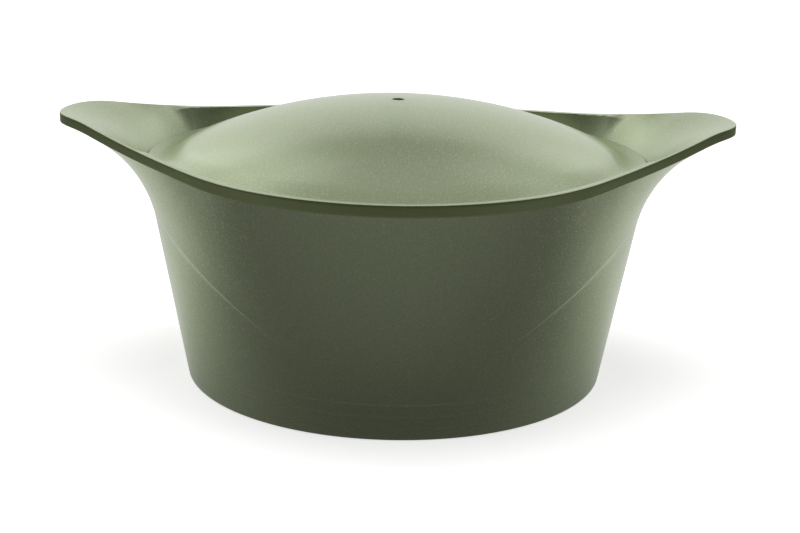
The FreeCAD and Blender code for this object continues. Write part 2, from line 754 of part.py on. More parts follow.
lid_faces = [face for face in lid_turning.Shape.Faces + dome.Shape.Faces if not is_dome_foot(face)]
lid_blank = doc.addObject("Part::Feature", "lid_blank")
lid_blank.Shape = closed_solid(lid_faces)
lid_blank.Placement = FreeCAD.Placement()
hollow_ball = ball("hollow_ball", "sizes.dome_bend - sizes.lid_thickness")
hollow_stock = upright_cylinder(
    "hollow_stock", "sizes.hollow_radius", "sizes.drip_height - sizes.cut_allowance", "sizes.lid_apex"
)
hollow = doc.addObject("Part::MultiCommon", "hollow")
hollow.Shapes = [hollow_ball, hollow_stock]
vent = upright_cylinder("steam_vent", "sizes.vent_radius", "sizes.seat_height", "sizes.lid_apex")
lid_space = doc.addObject("Part::MultiFuse", "lid_space")
lid_space.Shapes = [hollow, vent]
lid = doc.addObject("Part::Cut", "lid")
lid.Base = lid_blank
lid.Tool = lid_space
doc.recompute()

# Every object is sound before anything is written.

for item in doc.Objects:
    broken = [state for state in item.State if state in ("Invalid", "Error")]
    if broken:
        raise RuntimeError("%s is %s" % (item.Label, ", ".join(broken)))
os.makedirs("parts", exist_ok=True)
for piece in (pot, disc, lid):
    shape = piece.Shape
    if shape.isNull() or not shape.isValid() or len(shape.Solids) != 1:
        raise RuntimeError("%s has no sound shape" % piece.Label)
for piece in (pot, disc, lid):
    piece.Shape.exportStep("parts/%s.step" % piece.Label)
    box = piece.Shape.BoundBox
    print("%s: %.1f x %.1f x %.1f mm, %.1f cm3" % (
        piece.Label, box.XLength, box.YLength, box.ZLength, piece.Shape.Volume / 1000,
    ))
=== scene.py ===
"""Looks of a cast casserole pot with two wing handles and a loose domed lid.

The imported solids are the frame.  The pot's casting and the lid are shown by finer
meshes made from the same rules and sizes, so that their gloss runs smoothly, and the
steel base disc keeps its solid and gets a turned finish.  Lengths in the classes are in
millimetres and become metres where a mesh is made.
"""

import logging
import math
from dataclasses import dataclass, field
from enum import Enum
from typing import Any, Dict, List, Optional, Sequence, Tuple

import bpy
from mathutils import Matrix, Vector

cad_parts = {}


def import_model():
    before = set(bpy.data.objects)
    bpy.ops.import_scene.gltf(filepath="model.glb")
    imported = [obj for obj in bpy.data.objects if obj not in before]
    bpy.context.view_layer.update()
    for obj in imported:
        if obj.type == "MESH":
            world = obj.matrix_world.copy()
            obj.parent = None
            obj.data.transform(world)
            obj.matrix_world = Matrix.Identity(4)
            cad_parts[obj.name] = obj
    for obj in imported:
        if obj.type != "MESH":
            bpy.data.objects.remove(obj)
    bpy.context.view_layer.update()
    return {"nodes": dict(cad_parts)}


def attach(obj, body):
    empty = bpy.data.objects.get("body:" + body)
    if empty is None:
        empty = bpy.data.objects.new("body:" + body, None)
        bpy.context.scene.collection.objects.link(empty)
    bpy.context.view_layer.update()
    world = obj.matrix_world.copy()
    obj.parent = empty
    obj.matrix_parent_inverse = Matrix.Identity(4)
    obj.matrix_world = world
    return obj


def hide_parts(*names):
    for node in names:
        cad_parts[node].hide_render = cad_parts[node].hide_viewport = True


log = logging.getLogger("casserole")

Section = List[Tuple[float, float]]
MM = 0.001
PAINTED_HIGHLIGHT = "painted_highlight"
PAINTED_SHADE = "painted_shade"
SHARP_EDGE = math.radians(40)

# Rows of the pot's section, in order from under the floor's middle outwards and up.
FLOOR_ROWS = 5
FOOT_ROWS = (0.25, 0.5, 0.75, 1.0)
# A fine groove's rows: height in groove widths and share of the depth.  The fourth is its lip.
# The cone's next row lies RING_CLEAR widths above the last groove.
RING_ROWS = ((-0.6, 0.0), (-0.5, 0.0), (0.2, 1.0), (0.45, 0.0), (0.6, 0.0))
RING_LIP = 3
RING_CLEAR = 0.7
CONE_ROWS = (0.0, 0.2, 0.4, 0.6, 0.8, 0.96, 1.0)
CREASE_ROWS = (0.08, 0.92)
FLARE_STEPS = 28
LAND_ROWS = (0.25, 0.6)
CURVE_STEPS = 40
FACE_STEPS = 36
WALL_STEPS = 8
FILLET_STEPS = 8
FLOOR_STEPS = 5
# Share of painted shade on the rim's rows, counted from the flare's upper end.
RIM_SHADE = (1.0,) * 8 + (0.9, 0.6, 0.2, 0.0)
# Degrees between the pot's sections: fine over each wing's tip, coarser along the mouth.
FINE_TURN, FINE_UNTIL, COARSE_TURN = 0.5, 33.0, 1.2
# Steps of the lid's section.
DOME_STEPS, FOLD_STEPS, BRIM_STEPS, HOLLOW_STEPS = 40, 32, 6, 30


class Body(Enum):
    """The moving bodies of the frame."""

    POT = "pot"
    LID = "lid"


class Slot(Enum):
    """The record's material slot name for the lacquer, which nothing here uses."""

    LACQUER = "green_lacquer"


def linear(hex_colour: str) -> Tuple[float, float, float, float]:
    """Turn an sRGB hex colour into a linear one.

    Args:
        hex_colour: Six hex digits, with or without a leading hash.

    Returns:
        Red, green, blue and an alpha of 1.
    """
    digits = hex_colour.lstrip("#")
    channels = []
    for start in (0, 2, 4):
        value = int(digits[start:start + 2], 16) / 255.0
        channels.append(value / 12.92 if value <= 0.04045 else ((value + 0.055) / 1.055) ** 2.4)
    return channels[0], channels[1], channels[2], 1.0


def add_node(
    tree: bpy.types.NodeTree,
    kind: str,
    settings: Optional[Dict[str, Any]] = None,
    inputs: Optional[Dict[Any, Any]] = None,
) -> bpy.types.Node:
    """Add one node with its settings, values and links.

    Args:
        tree: The node tree that gets the node.
        kind: The node's type name.
        settings: Attributes of the node, such as its operation.
        inputs: Values or output sockets for the node's inputs, by name or number.

    Returns:
        The new node.
    """
    node = tree.nodes.new(kind)
    for name, value in (settings or {}).items():
        setattr(node, name, value)
    for key, value in (inputs or {}).items():
        if isinstance(value, bpy.types.NodeSocket):
            tree.links.new(value, node.inputs[key])
        else:
            node.inputs[key].default_value = value
    return node


def add_object(name: str, data: bpy.types.ID) -> bpy.types.Object:
    """Add an object to the scene.

    Args:
        name: The object's name.
        data: The mesh, lamp or camera that it shows.

    Returns:
        The object.
    """
    holder = bpy.data.objects.new(name, data)
    bpy.context.scene.collection.objects.link(holder)
    return holder


def new_material(name: str) -> Tuple[bpy.types.Material, bpy.types.NodeTree]:
    """Make an empty node material.

    Args:
        name: The material's name.

    Returns:
        The material and its node tree.
    """
    material = bpy.data.materials.new(name)
    material.use_nodes = True
    material.node_tree.nodes.clear()
    return material, material.node_tree


@dataclass(frozen=True)
class GreenLacquer:
    """Stoved green lacquer over cast aluminium: mostly flake, under a thin satin gloss."""

    name: str = "lacquer_stoved_green"
    tint: str = "#B3BE9B"
    tint_deep: str = "#AAB691"
    edge_tint: str = "#E2E9D6"
    flake_dark: str = "#9FA986"
    flake_bright: str = "#E4EBD2"
    # Pale colour of the painted highlight along the crease and the grooves' lips.
    painted_highlight_tint: str = "#F2F5EA"
    # Deeper green of the painted shade on the rim's outer face.
    painted_shade_tint: str = "#A0AE74"
    flake_size: float = 0.3
    dark_from: float = 0.55
    dark_share: float = 0.6
    bright_from: float = 0.88
    bright_share: float = 0.55
    flake_tilt: float = 0.42
    mottle_size: float = 45.0
    skin_size: float = 1.4
    skin_depth: float = 0.006
    skin_strength: float = 0.3
    metal_share: float = 0.86
    roughness: float = 0.39
    roughness_spread: float = 0.03
    gloss_share: float = 0.65
    gloss_roughness: float = 0.2

    def build(self) -> bpy.types.Material:
        """Make the material.

        Returns:
            The lacquer.
        """
        material, tree = new_material(self.name)
        place = add_node(tree, "ShaderNodeTexCoord")
        # The coat is sprayed a little unevenly, so the green drifts over a hand's width.
        mottle = add_node(tree, "ShaderNodeTexNoise", None, {
            "Vector": place.outputs["Object"], "Scale": 1.0 / (self.mottle_size * MM),
            "Detail": 2.0,
        })
        ground = add_node(tree, "ShaderNodeMix", {"data_type": "RGBA"}, {
            0: mottle.outputs["Fac"], 6: linear(self.tint_deep), 7: linear(self.tint),
        })
        # Each flake lies at its own angle: a fine grain of lighter and darker specks.  Real
        # flakes are a few hundredths of a millimetre across, too fine to show, so these are larger.
        flakes = add_node(tree, "ShaderNodeTexVoronoi", {"feature": "F1"}, {
            "Vector": place.outputs["Object"], "Scale": 1.0 / (self.flake_size * MM),
        })
        speck = add_node(tree, "ShaderNodeSeparateColor", None, {0: flakes.outputs["Color"]})
        darker = add_node(tree, "ShaderNodeMapRange", None, {
            0: speck.outputs["Red"], 1: self.dark_from, 2: 1.0, 3: 0.0, 4: self.dark_share,
        })
        brighter = add_node(tree, "ShaderNodeMapRange", None, {
            0: speck.outputs["Green"], 1: self.bright_from, 2: 1.0, 3: 0.0, 4: self.bright_share,
        })
        # Painted highlight: a fine pale line along the crease and along the fine grooves' lips,
        # where light catches the edge.
        highlights = add_node(tree, "ShaderNodeAttribute", {"attribute_name": PAINTED_HIGHLIGHT})
        # Painted shade: the rim's upright outer face is coloured a deeper green, for the darker
        # reflection it shows.
        rim_shade = add_node(tree, "ShaderNodeAttribute", {"attribute_name": PAINTED_SHADE})
        colour = ground.outputs[2]
        for share, tint in (
            (darker.outputs[0], self.flake_dark), (brighter.outputs[0], self.flake_bright),
            (highlights.outputs["Fac"], self.painted_highlight_tint), (rim_shade.outputs["Fac"], self.painted_shade_tint),
        ):
            colour = add_node(tree, "ShaderNodeMix", {"data_type": "RGBA"}, {
                0: share, 6: colour, 7: linear(tint),
            }).outputs[2]
        # The cured skin has a faint ripple that only the reflections show.
        ripple = add_node(tree, "ShaderNodeTexNoise", None, {
            "Vector": place.outputs["Object"], "Scale": 1.0 / (self.skin_size * MM), "Detail": 2.0,
        })
        # A few flakes stand askew and glint.
        centred = add_node(tree, "ShaderNodeVectorMath", {"operation": "SUBTRACT"}, {
            0: flakes.outputs["Color"], 1: (0.5, 0.5, 0.5),
        })
        askew = add_node(tree, "ShaderNodeMapRange", None, {
            0: speck.outputs["Green"], 1: self.bright_from, 2: 1.0, 3: 0.0, 4: self.flake_tilt,
        })
        tilt = add_node(tree, "ShaderNodeVectorMath", {"operation": "SCALE"}, {
            0: centred.outputs[0], "Scale": askew.outputs[0],
        })
        face = add_node(tree, "ShaderNodeNewGeometry")
        tilted = add_node(tree, "ShaderNodeVectorMath", {"operation": "ADD"}, {
            0: face.outputs["Normal"], 1: tilt.outputs[0],
        })
        upright = add_node(tree, "ShaderNodeVectorMath", {"operation": "NORMALIZE"}, {
            0: tilted.outputs[0],
        })
        bump = add_node(tree, "ShaderNodeBump", None, {
            "Strength": self.skin_strength, "Distance": self.skin_depth * MM,
            "Height": ripple.outputs["Fac"], "Normal": upright.outputs[0],
        })
        rough = add_node(tree, "ShaderNodeMapRange", None, {
            0: speck.outputs["Blue"],
            3: self.roughness - self.roughness_spread, 4: self.roughness + self.roughness_spread,
        })
        shader = add_node(tree, "ShaderNodeBsdfPrincipled", None, {
            "Base Color": colour, "Roughness": rough.outputs[0], "Metallic": self.metal_share,
            "Specular Tint": linear(self.edge_tint),
            "Coat Weight": self.gloss_share, "Coat Roughness": self.gloss_roughness,
            "Normal": bump.outputs["Normal"],
        })
        add_node(tree, "ShaderNodeOutputMaterial", None, {"Surface": shader.outputs["BSDF"]})
        return material


@dataclass(frozen=True)
class TurnedSteel:
    """Ferritic stainless steel, faced on a lathe: fine rings that stretch the highlights."""

    name: str = "steel_faced"
    metal: str = "#B9B9B4"
    groove_step: float = 0.6
    groove_depth: float = 0.01
    groove_strength: float = 0.5
    roughness: float = 0.28
    stretch: float = 0.5

    def build(self) -> bpy.types.Material:
        """Make the material.

        Returns:
            The steel.
        """
        material, tree = new_material(self.name)
        place = add_node(tree, "ShaderNodeTexCoord")
        axes = add_node(tree, "ShaderNodeSeparateXYZ", None, {"Vector": place.outputs["Object"]})
        flat = add_node(tree, "ShaderNodeCombineXYZ", None, {
            "X": axes.outputs["X"], "Y": axes.outputs["Y"],
        })
        reach = add_node(tree, "ShaderNodeVectorMath", {"operation": "LENGTH"}, {
            0: flat.outputs[0],
        })
        # Real facing rings lie about 0.1 mm apart, too close to show, so these lie wider.
        phase = add_node(tree, "ShaderNodeMath", {"operation": "MULTIPLY"}, {
            0: reach.outputs["Value"], 1: 2.0 * math.pi / (self.groove_step * MM),
        })
        wave = add_node(tree, "ShaderNodeMath", {"operation": "SINE"}, {0: phase.outputs[0]})
        bump = add_node(tree, "ShaderNodeBump", None, {
            "Strength": self.groove_strength, "Distance": self.groove_depth * MM,
            "Height": wave.outputs[0],
        })
        shader = add_node(tree, "ShaderNodeBsdfPrincipled", None, {
            "Base Color": linear(self.metal), "Metallic": 1.0, "Roughness": self.roughness,
            "Anisotropic": self.stretch, "Normal": bump.outputs["Normal"],
        })
        add_node(tree, "ShaderNodeOutputMaterial", None, {"Surface": shader.outputs["BSDF"]})
        return material


def rounded(points: Section, corners: Dict[int, float], steps: int = 4) -> Section:
    """Round some corners of a section.

    Args:
        points: The section's corners.
        corners: Radius for the number of each corner that is rounded.
        steps: Straight steps in each rounding.

    Returns:
        The section with its roundings.
    """
    result: Section = []
    for number, (x, z) in enumerate(points):
        if number not in corners:
            result.append((x, z))
            continue
        here = Vector((x, z))
        before = Vector(points[number - 1]) - here
        after = Vector(points[number + 1]) - here
        half = before.angle(after) / 2
        back = min(corners[number] / math.tan(half), 0.45 * before.length, 0.45 * after.length)
        start = here + before.normalized() * back
        end = here + after.normalized() * back
        for step in range(steps + 1):
            share = step / steps
            spot = start * (1 - share) ** 2 + here * 2 * share * (1 - share) + end * share ** 2
            result.append((spot.x, spot.y))
    return result


def spread(start: Tuple[float, float], end: Tuple[float, float], steps: int) -> Section:
    """Points on a straight line, without its end.

    Args:
        start: First point.
        end: Last point, which is left out.
        steps: Number of steps.

    Returns:
        The points.
    """
    (x, z), (end_x, end_z) = start, end
    return [
        (x + (end_x - x) * step / steps, z + (end_z - z) * step / steps) for step in range(steps)
    ]


def cubic(start: Vector, near_start: Vector, near_end: Vector, end: Vector, steps: int) -> Section:
    """Points of a curve between two ends that leans towards two points between them.

    Args:
        start: First point.
        near_start: Point that the curve leaves the start towards.
        near_end: Point that it comes to the end from.
        end: Last point.
        steps: Number of steps.

    Returns:
        The points, both ends included.
    """
    points = []
    for step in range(steps + 1):
        share = step / steps
        rest = 1 - share
        spot = start * rest ** 3 + near_start * 3 * rest ** 2 * share
        spot += near_end * 3 * rest * share ** 2 + end * share ** 3
        points.append((spot.x, spot.y))
    return points


def eased(place: float) -> float:
    """0 up to a place of 0 and 1 from a place of 1, with a smooth change between."""
    place = min(1.0, max(0.0, place))
    return place * place * (3 - 2 * place)


@dataclass
class PotCasting:
    """The cast pot: leaning wall, creased flares and two wing handles.

    Its section is made afresh at each angle round the axis, always with the same number of
    rows, so that the rows join into one closed skin.
    """

    base_radius: float = 101.1
    wall_draft: float = 10.3
    wall_thickness: float = 4.2
    foot_bevel: float = 1.6
    floor_thickness: float = 6.0
    floor_round: float = 14.0
    rim_top: float = 110.4
    lip_reach: float = 3.3
    lip_depth: float = 5.1
    lip_overhang: float = 1.8
    rim_land: float = 4.0
    rim_edge_round: float = 0.6
    rim_support: Tuple[float, float] = (0.6, 1.6)
    lip_round: float = 0.25
    land_round: float = 0.35
    wing_flank: float = 45.0
    wing_nose: float = 37.1
    wing_edge: float = 4.5
    wing_overhang: float = 0.3
    wing_land: float = 1.5
    dip_half: float = 56.0
    dip_bend: float = 1550.0
    rise_bend: float = 404.0
    crown_run: float = 19.3
    crown_bend: float = 62.0
    crease_foot: float = 5.0
    crease_rise: float = 0.71
    crease_kink: float = 10.0
    crease_span: float = 60.0
    crease_softness: float = 0.2
    crease_step: float = 0.4
    crease_reach: float = 72.0
    crease_hold: float = 1.6
    step_height: float = 0.7
    step_run: float = 12.0
    flare_fullness: float = 0.69
    flare_share: float = 0.2
    tip_slope: float = 24.0
    trough_turn: float = 23.0
    trough_least: float = 0.5
    trough_fullness: float = 2.0 / 3.0
    root_span: Tuple[float, float] = (29.0, 24.5)
    brow_follow: float = 0.6
    brow_inset: float = 0.8
    seat_depth: float = 6.6
    seat_inset: float = 4.8
    seat_root_round: float = 0.3
    mouth_round: float = 0.4
    mouth_ledge: float = 1.0
    mouth_drop: float = 4.0
    rings: Tuple[float, ...] = (5.7, 11.8, 17.9)
    ring_show: float = 0.16
    ring_width: float = 1.0
    # Painted highlight: shares of a pale line on the crease, just above it, and on the grooves'
    # lips.
    highlight_on_crease: float = 0.9
    highlight_past_crease: float = 0.4
    highlight_on_rings: float = 0.35
    # Painted shade: share of a deeper green on the rim's outer face.
    shade_on_rim: float = 0.85
    disc_radius: float = 84.0
    disc_thickness: float = 1.6
    disc_gap: float = 0.2
    recess_bevel: float = 0.2
    blend_start: float = 0.75
    blend_length: float = 0.35
    rim_radius: float = field(init=False)
    wing_reach: float = field(init=False)
    nose_centre: float = field(init=False)
    crown_start: float = field(init=False)

    def __post_init__(self) -> None:
        """Work out the sizes that follow from the others."""
        flank = math.cos(math.radians(self.wing_flank))
        self.rim_radius = self.wall_radius(self.rim_top) + self.lip_reach
        self.wing_reach = (self.rim_radius - self.wing_nose * (1 - flank)) / flank
        self.nose_centre = self.wing_reach - self.wing_nose
        self.crown_start = self.wing_reach - self.crown_run

    def wall_radius(self, height: float) -> float:
        """Outer radius of the wall's cone at a height."""
        return self.base_radius + height * math.tan(math.radians(self.wall_draft))

    @property
    def wall_inset(self) -> float:
        """Level distance through the leaning wall."""
        return self.wall_thickness / math.cos(math.radians(self.wall_draft))

    @property
    def seat_height(self) -> float:
        """Height of the ledge that the lid sits on."""
        return self.rim_top - self.seat_depth

    @staticmethod
    def from_wing(turn: float) -> float:
        """Angle from the nearest wing's axis, from 0 to a quarter turn."""
        return math.atan2(abs(math.sin(turn)), abs(math.cos(turn)))

    def fade(self, turn: float, span: float) -> float:
        """1 on a wing's axis, which falls smoothly to 0 at a span in degrees."""
        return math.cos(min(1.0, self.from_wing(turn) / math.radians(span)) * math.pi / 2) ** 2

    def shared(self, turn: float, on_wing: float, on_rim: float) -> float:
        """A size that is one value along a wing and another along the round rim.

        Args:
            turn: Angle round the axis.
            on_wing: The value along a wing.
            on_rim: The value along the round rim.

        Returns:
            The value at the turn.
        """
        place = self.from_wing(turn) / math.radians(self.wing_flank)
        share = 1 - eased((place - self.blend_start) / self.blend_length)
        return share * on_wing + (1 - share) * on_rim

    def rim_radius_at(self, turn: float) -> float:
        """Distance from the axis to the rim's outer face: round, flank or tip of a wing.

        Args:
            turn: Angle round the axis.

        Returns:
            The distance.
        """
        angle = self.from_wing(turn)
        flank = math.radians(self.wing_flank)
        if angle >= flank:
            return self.rim_radius
        tip_side = self.wing_nose * math.sin(flank)
        tip_front = self.nose_centre + self.wing_nose * math.cos(flank)
        if angle >= math.atan2(tip_side, tip_front):
            return self.rim_radius / math.cos(flank - angle)
        beside = self.nose_centre * math.sin(angle)
        return self.nose_centre * math.cos(angle) + math.sqrt(self.wing_nose ** 2 - beside ** 2)

    @staticmethod
    def climb(run: float, bend: float, slope: float) -> float:
        """Height gained over a run along an arc that starts at a slope and bends upwards."""
        return bend * (math.cos(slope) - math.cos(math.asin(math.sin(slope) + run / bend)))

    def rim_height_at(self, offset: float) -> float:
        """Height of the rim's top.

        Args:
            offset: Distance from the middle, seen from the front.

        Returns:
            The height, which rises from the middle towards the wings.
        """
        offset = abs(offset)
        dip_slope = math.asin(self.dip_half / self.dip_bend)
        rise = (self.crown_start - self.dip_half) / self.rise_bend
        rise_slope = math.asin(math.sin(dip_slope) + rise)
        height = self.rim_top + self.climb(min(offset, self.dip_half), self.dip_bend, 0.0)
        if offset > self.dip_half:
            run = min(offset, self.crown_start) - self.dip_half
            height += self.climb(run, self.rise_bend, dip_slope)
        if offset > self.crown_start:
            height += self.climb(offset - self.crown_start, -self.crown_bend, rise_slope)
        return height

    def crease_point(self, turn: float) -> Tuple[float, float]:
        """Where the wall's cone turns into the flare: the cone cut by a sloping plane.

        Args:
            turn: Angle round the axis.

        Returns:
            Radius and height of the point.
        """
        softness = self.crease_softness ** 2
        rise = self.crease_rise * math.sqrt((math.cos(turn) ** 2 + softness) / (1 + softness))
        lean = math.tan(math.radians(self.wall_draft))
        height = (self.crease_foot + rise * self.base_radius) / (1 - rise * lean)
        return self.wall_radius(height), height

    @staticmethod
    def bezier(ends: Sequence[Tuple[float, float]], slopes: Tuple[float, float], fullness: float,
               steps: int) -> Section:
        """Points of a curve between two ends that keeps a slope at each.

        Args:
            ends: Low and high end.
            slopes: Angle of the curve at each end.
            fullness: How closely the curve keeps to its two tangents.
            steps: Number of steps.

        Returns:
            The points, both ends included.
        """
        (low_x, low_z), (high_x, high_z) = ends
        run, rise = high_x - low_x, high_z - low_z
        reach = rise * math.cos(slopes[1]) - run * math.sin(slopes[1])
        reach /= math.sin(slopes[0] - slopes[1])
        corner = Vector((low_x + reach * math.cos(slopes[0]), low_z + reach * math.sin(slopes[0])))
        low, high = Vector(ends[0]), Vector(ends[1])
        return cubic(low, low.lerp(corner, fullness), high.lerp(corner, fullness), high, steps)

    def flare(self, turn: float, steps: int) -> Section:
        """Section of the wall above the crease, up to the lip.

        Args:
            turn: Angle round the axis.
            steps: Number of steps.

        Returns:
            The points, both ends included.
        """
        low = self.crease_point(turn)
        radius = self.rim_radius_at(turn)
        depth = self.shared(turn, self.wing_edge, self.lip_depth)
        high = (
            radius - self.shared(turn, self.wing_overhang, self.lip_overhang),
            self.rim_height_at(radius * math.cos(turn)) - depth,
        )
        kink = self.crease_kink * self.fade(turn, self.crease_span)
        start = math.radians(90 - self.wall_draft - kink)
        chord = math.atan2(high[1] - low[1], high[0] - low[0])
        round_end = chord - self.flare_share * (start - chord)
        fade = self.fade(turn, self.wing_flank)
        end = fade * math.radians(self.tip_slope) + (1 - fade) * round_end
        return self.bezier((low, high), (start, end), self.flare_fullness, steps)

    def past_root(self, turn: float) -> float:
        """0 on a wing and 1 along the mouth, with a smooth change at the wing's root."""
        start, end = self.root_span
        return eased((math.degrees(self.from_wing(turn)) - end) / (start - end))

    @staticmethod
    def evenly(line: Section, steps: int) -> Section:
        """Points at equal distances along a line.

        Args:
            line: The line's points.
            steps: Number of steps.

        Returns:
            The new points, both ends included.
        """
        reach = [0.0]
        for (x, z), (next_x, next_z) in zip(line, line[1:]):
            reach.append(reach[-1] + math.hypot(next_x - x, next_z - z))
        points = [line[0]]
        number = 0
        for step in range(1, steps):
            goal = reach[-1] * step / steps
            while reach[number + 1] < goal:
                number += 1
            share = (goal - reach[number]) / (reach[number + 1] - reach[number])
            (x, z), (next_x, next_z) = line[number], line[number + 1]
            points.append((x + share * (next_x - x), z + share * (next_z - z)))
        return points + [line[-1]]

    def upper_face(self, turn: float, steps: int) -> Section:
        """Section of a wing's upper face and of the mouth, from the land down to the seat.

        Args:
            turn: Angle round the axis.
            steps: Number of steps.

        Returns:
            The points, both ends included.
        """
        low = (self.rim_radius - self.seat_inset, self.seat_height)
        radius = self.rim_radius_at(turn) - self.shared(turn, self.wing_land, self.rim_land)
        high = (radius, self.rim_height_at(radius * math.cos(turn)))
        chord = math.atan2(high[1] - low[1], high[0] - low[0])
        fade = self.fade(turn, self.wing_flank)
        bulge = math.radians(self.trough_least + self.trough_turn * fade)
        curve = self.bezier(
            (low, high), (chord + bulge, chord - bulge), self.trough_fullness, CURVE_STEPS
        )
        wing = self.evenly(curve[::-1], steps)
        share = self.past_root(turn)
        if not share:
            return wing
        brow_x = high[0] - (1 - self.brow_follow) * max(0.0, high[0] - low[0] - self.brow_inset)
        brow = (brow_x, self.rim_height_at(brow_x * math.cos(turn)))
        wall = self.evenly([high, brow, low], steps)
        return [
            (x + share * (wall_x - x), z + share * (wall_z - z))
            for (x, z), (wall_x, wall_z) in zip(wing, wall)
        ]

    def wall_below_crease(self, turn: float) -> Section:
        """Section of the wall's cone with its three fine grooves, up to the crease.

        Args:
            turn: Angle round the axis.

        Returns:
            The points, from the foot up.
        """
        points: Section = [(self.base_radius - self.foot_bevel, 0.0)]
        for share in FOOT_ROWS:
            bend = share * math.radians(90 - self.wall_draft)
            height = self.foot_bevel * (1 - math.cos(bend))
            inset = self.foot_bevel * (1 - math.sin(bend))
            points.append((self.wall_radius(height) - inset, height))
        for height in self.rings:
            for offset, depth in RING_ROWS:
                level = height + offset * self.ring_width
                points.append((self.wall_radius(level) - depth * self.ring_show, level))
        crease = self.crease_point(turn)[1]
        first = self.rings[-1] + RING_CLEAR * self.ring_width
        last = crease - self.step_height
        for share in CONE_ROWS:
            level = first + share * (last - first)
            points.append((self.wall_radius(level), level))
        for share in CREASE_ROWS:
            level = last + share * self.step_height
            points.append((self.wall_radius(level) + share * self.crease_step_at(turn), level))
        return points

    def painted_shade(self, count: int) -> List[float]:
        """How much painted shade each point of a section gets.

        Args:
            count: Number of the section's points.

        Returns:
            A share for each point, which is high on the rim's outer face alone.
        """
        shares = [0.0] * count
        start = FLOOR_ROWS + len(self.wall_below_crease(0.0)) + FLARE_STEPS + 1
        for number, share in enumerate(RIM_SHADE):
            shares[start + number] = share * self.shade_on_rim
        return shares

    def painted_highlight(self, turn: float, count: int) -> List[float]:
        """How much painted highlight each point of a section gets.

        Args:
            turn: Angle of the section.
            count: Number of its points.

        Returns:
            A share for each point: more along the crease, less along the fine grooves.
        """
        shares = [0.0] * count
        first_ring = FLOOR_ROWS + 1 + len(FOOT_ROWS)
        for ring in range(len(self.rings)):
            shares[first_ring + len(RING_ROWS) * ring + RING_LIP] = self.highlight_on_rings
        crease = FLOOR_ROWS + len(self.wall_below_crease(turn))
        on_crease = self.highlight_on_crease * self.under_wing(turn)
        shares[crease - 2] = shares[crease - 1] = on_crease
        shares[crease] = self.highlight_past_crease * on_crease
        return shares

    def under_wing(self, turn: float) -> float:
        """1 below the middle of a wing, which falls to 0 where the crease dies out."""
        return min(1.0, self.crease_hold * self.fade(turn, self.crease_reach))

    def crease_step_at(self, turn: float) -> float:
        """How far the flare's lower border stands proud of the cone, under each wing."""
        return self.crease_step * self.under_wing(turn)

    def stepped_flare(self, turn: float, steps: int) -> Section:
        """The flare, whose lower border stands proud and sinks back over the step's run.

        Args:
            turn: Angle round the axis.
            steps: Number of steps.

        Returns:
            The points, both ends included.
        """
        flare = self.flare(turn, steps)
        start = flare[0][1]
        proud = []
        for x, z in flare:
            left = max(0.0, 1.0 - (z - start) / self.step_run)
            proud.append((x + self.crease_step_at(turn) * left ** 2, z))
        return proud

    def section(self, turn: float) -> Section:
        """The whole section at a turn.

        Args:
            turn: Angle round the axis.

        Returns:
            The points, from under the floor's middle round to its top.
        """
        recess = self.disc_radius + self.disc_gap
        points: Section = [(0.0, self.disc_thickness), (recess * 0.5, self.disc_thickness)]
        points += [(recess, self.disc_thickness), (recess, self.recess_bevel)]
        points.append((recess + self.recess_bevel, 0.0))
        points += self.wall_below_crease(turn)
        flare = self.stepped_flare(turn, FLARE_STEPS)
        points += flare
        radius = self.rim_radius_at(turn)
        top = self.rim_height_at(radius * math.cos(turn))
        under = flare[-1][1]
        bend = self.rim_edge_round
        inner = radius - 2 * bend
        levels = (under, under + self.rim_support[0], top - self.rim_support[1], top)
        edge = [flare[-1]] + [(radius, level) for level in levels]
        edge.append((inner, self.rim_height_at(inner * math.cos(turn))))
        rounding = rounded(edge, {1: self.lip_round, 4: bend})
        points += rounding[1:-1]
        face = self.upper_face(turn, FACE_STEPS)
        land = face[0]
        for share in LAND_ROWS:
            spot = radius - bend + share * (land[0] - radius + bend)
            points.append((spot, self.rim_height_at(spot * math.cos(turn))))
        points += rounded([points[-1], face[0], face[1]], {1: self.land_round}, 3)[1:-1]
        points += face[1:-1]
        mouth = self.wall_radius(self.seat_height) - self.wall_inset
        ledge = (mouth + self.mouth_ledge, self.seat_height)
        points += rounded([face[-2], face[-1], ledge], {1: self.seat_root_round}, 2)[1:-1]
        below = self.seat_height - self.mouth_drop
        low = self.wall_radius(below) - self.wall_inset
        drop = [ledge, (mouth, self.seat_height), (low, below)]
        points += rounded(drop, {1: self.mouth_round}, 3)
        centre_z = self.floor_thickness + self.floor_round
        centre = self.wall_radius(centre_z) - self.wall_inset
        centre -= self.floor_round / math.cos(math.radians(self.wall_draft))
        wall_end = 90 - self.wall_draft
        wall_foot = (
            centre + self.floor_round * math.sin(math.radians(wall_end)),
            centre_z - self.floor_round * math.cos(math.radians(wall_end)),
        )
        points += spread((low, below), wall_foot, WALL_STEPS)[1:]
        for step in range(FILLET_STEPS + 1):
            bend_angle = math.radians(wall_end * (1 - step / FILLET_STEPS))
            points.append((
                centre + self.floor_round * math.sin(bend_angle),
                centre_z - self.floor_round * math.cos(bend_angle),
            ))
        middle = (0.0, self.floor_thickness)
        points += spread((centre, self.floor_thickness), middle, FLOOR_STEPS)[1:]
        points.append(middle)
        return points

    @staticmethod
    def turns() -> List[float]:
        """Angles round the axis, close together over the tips of the wings.

        Returns:
            The angles in degrees, from 0 up to a whole turn.
        """
        quarter = [FINE_TURN * step for step in range(round(FINE_UNTIL / FINE_TURN))]
        coarse = math.ceil((90.0 - FINE_UNTIL) / COARSE_TURN)
        quarter += [FINE_UNTIL + COARSE_TURN * step for step in range(coarse)]
        half = quarter + [180.0 - angle for angle in reversed(quarter[1:])]
        half = sorted(set(half + [90.0]))
        whole = half + [180.0 + angle for angle in half if angle < 180.0]
        return sorted({round(angle % 360.0, 6) for angle in whole})

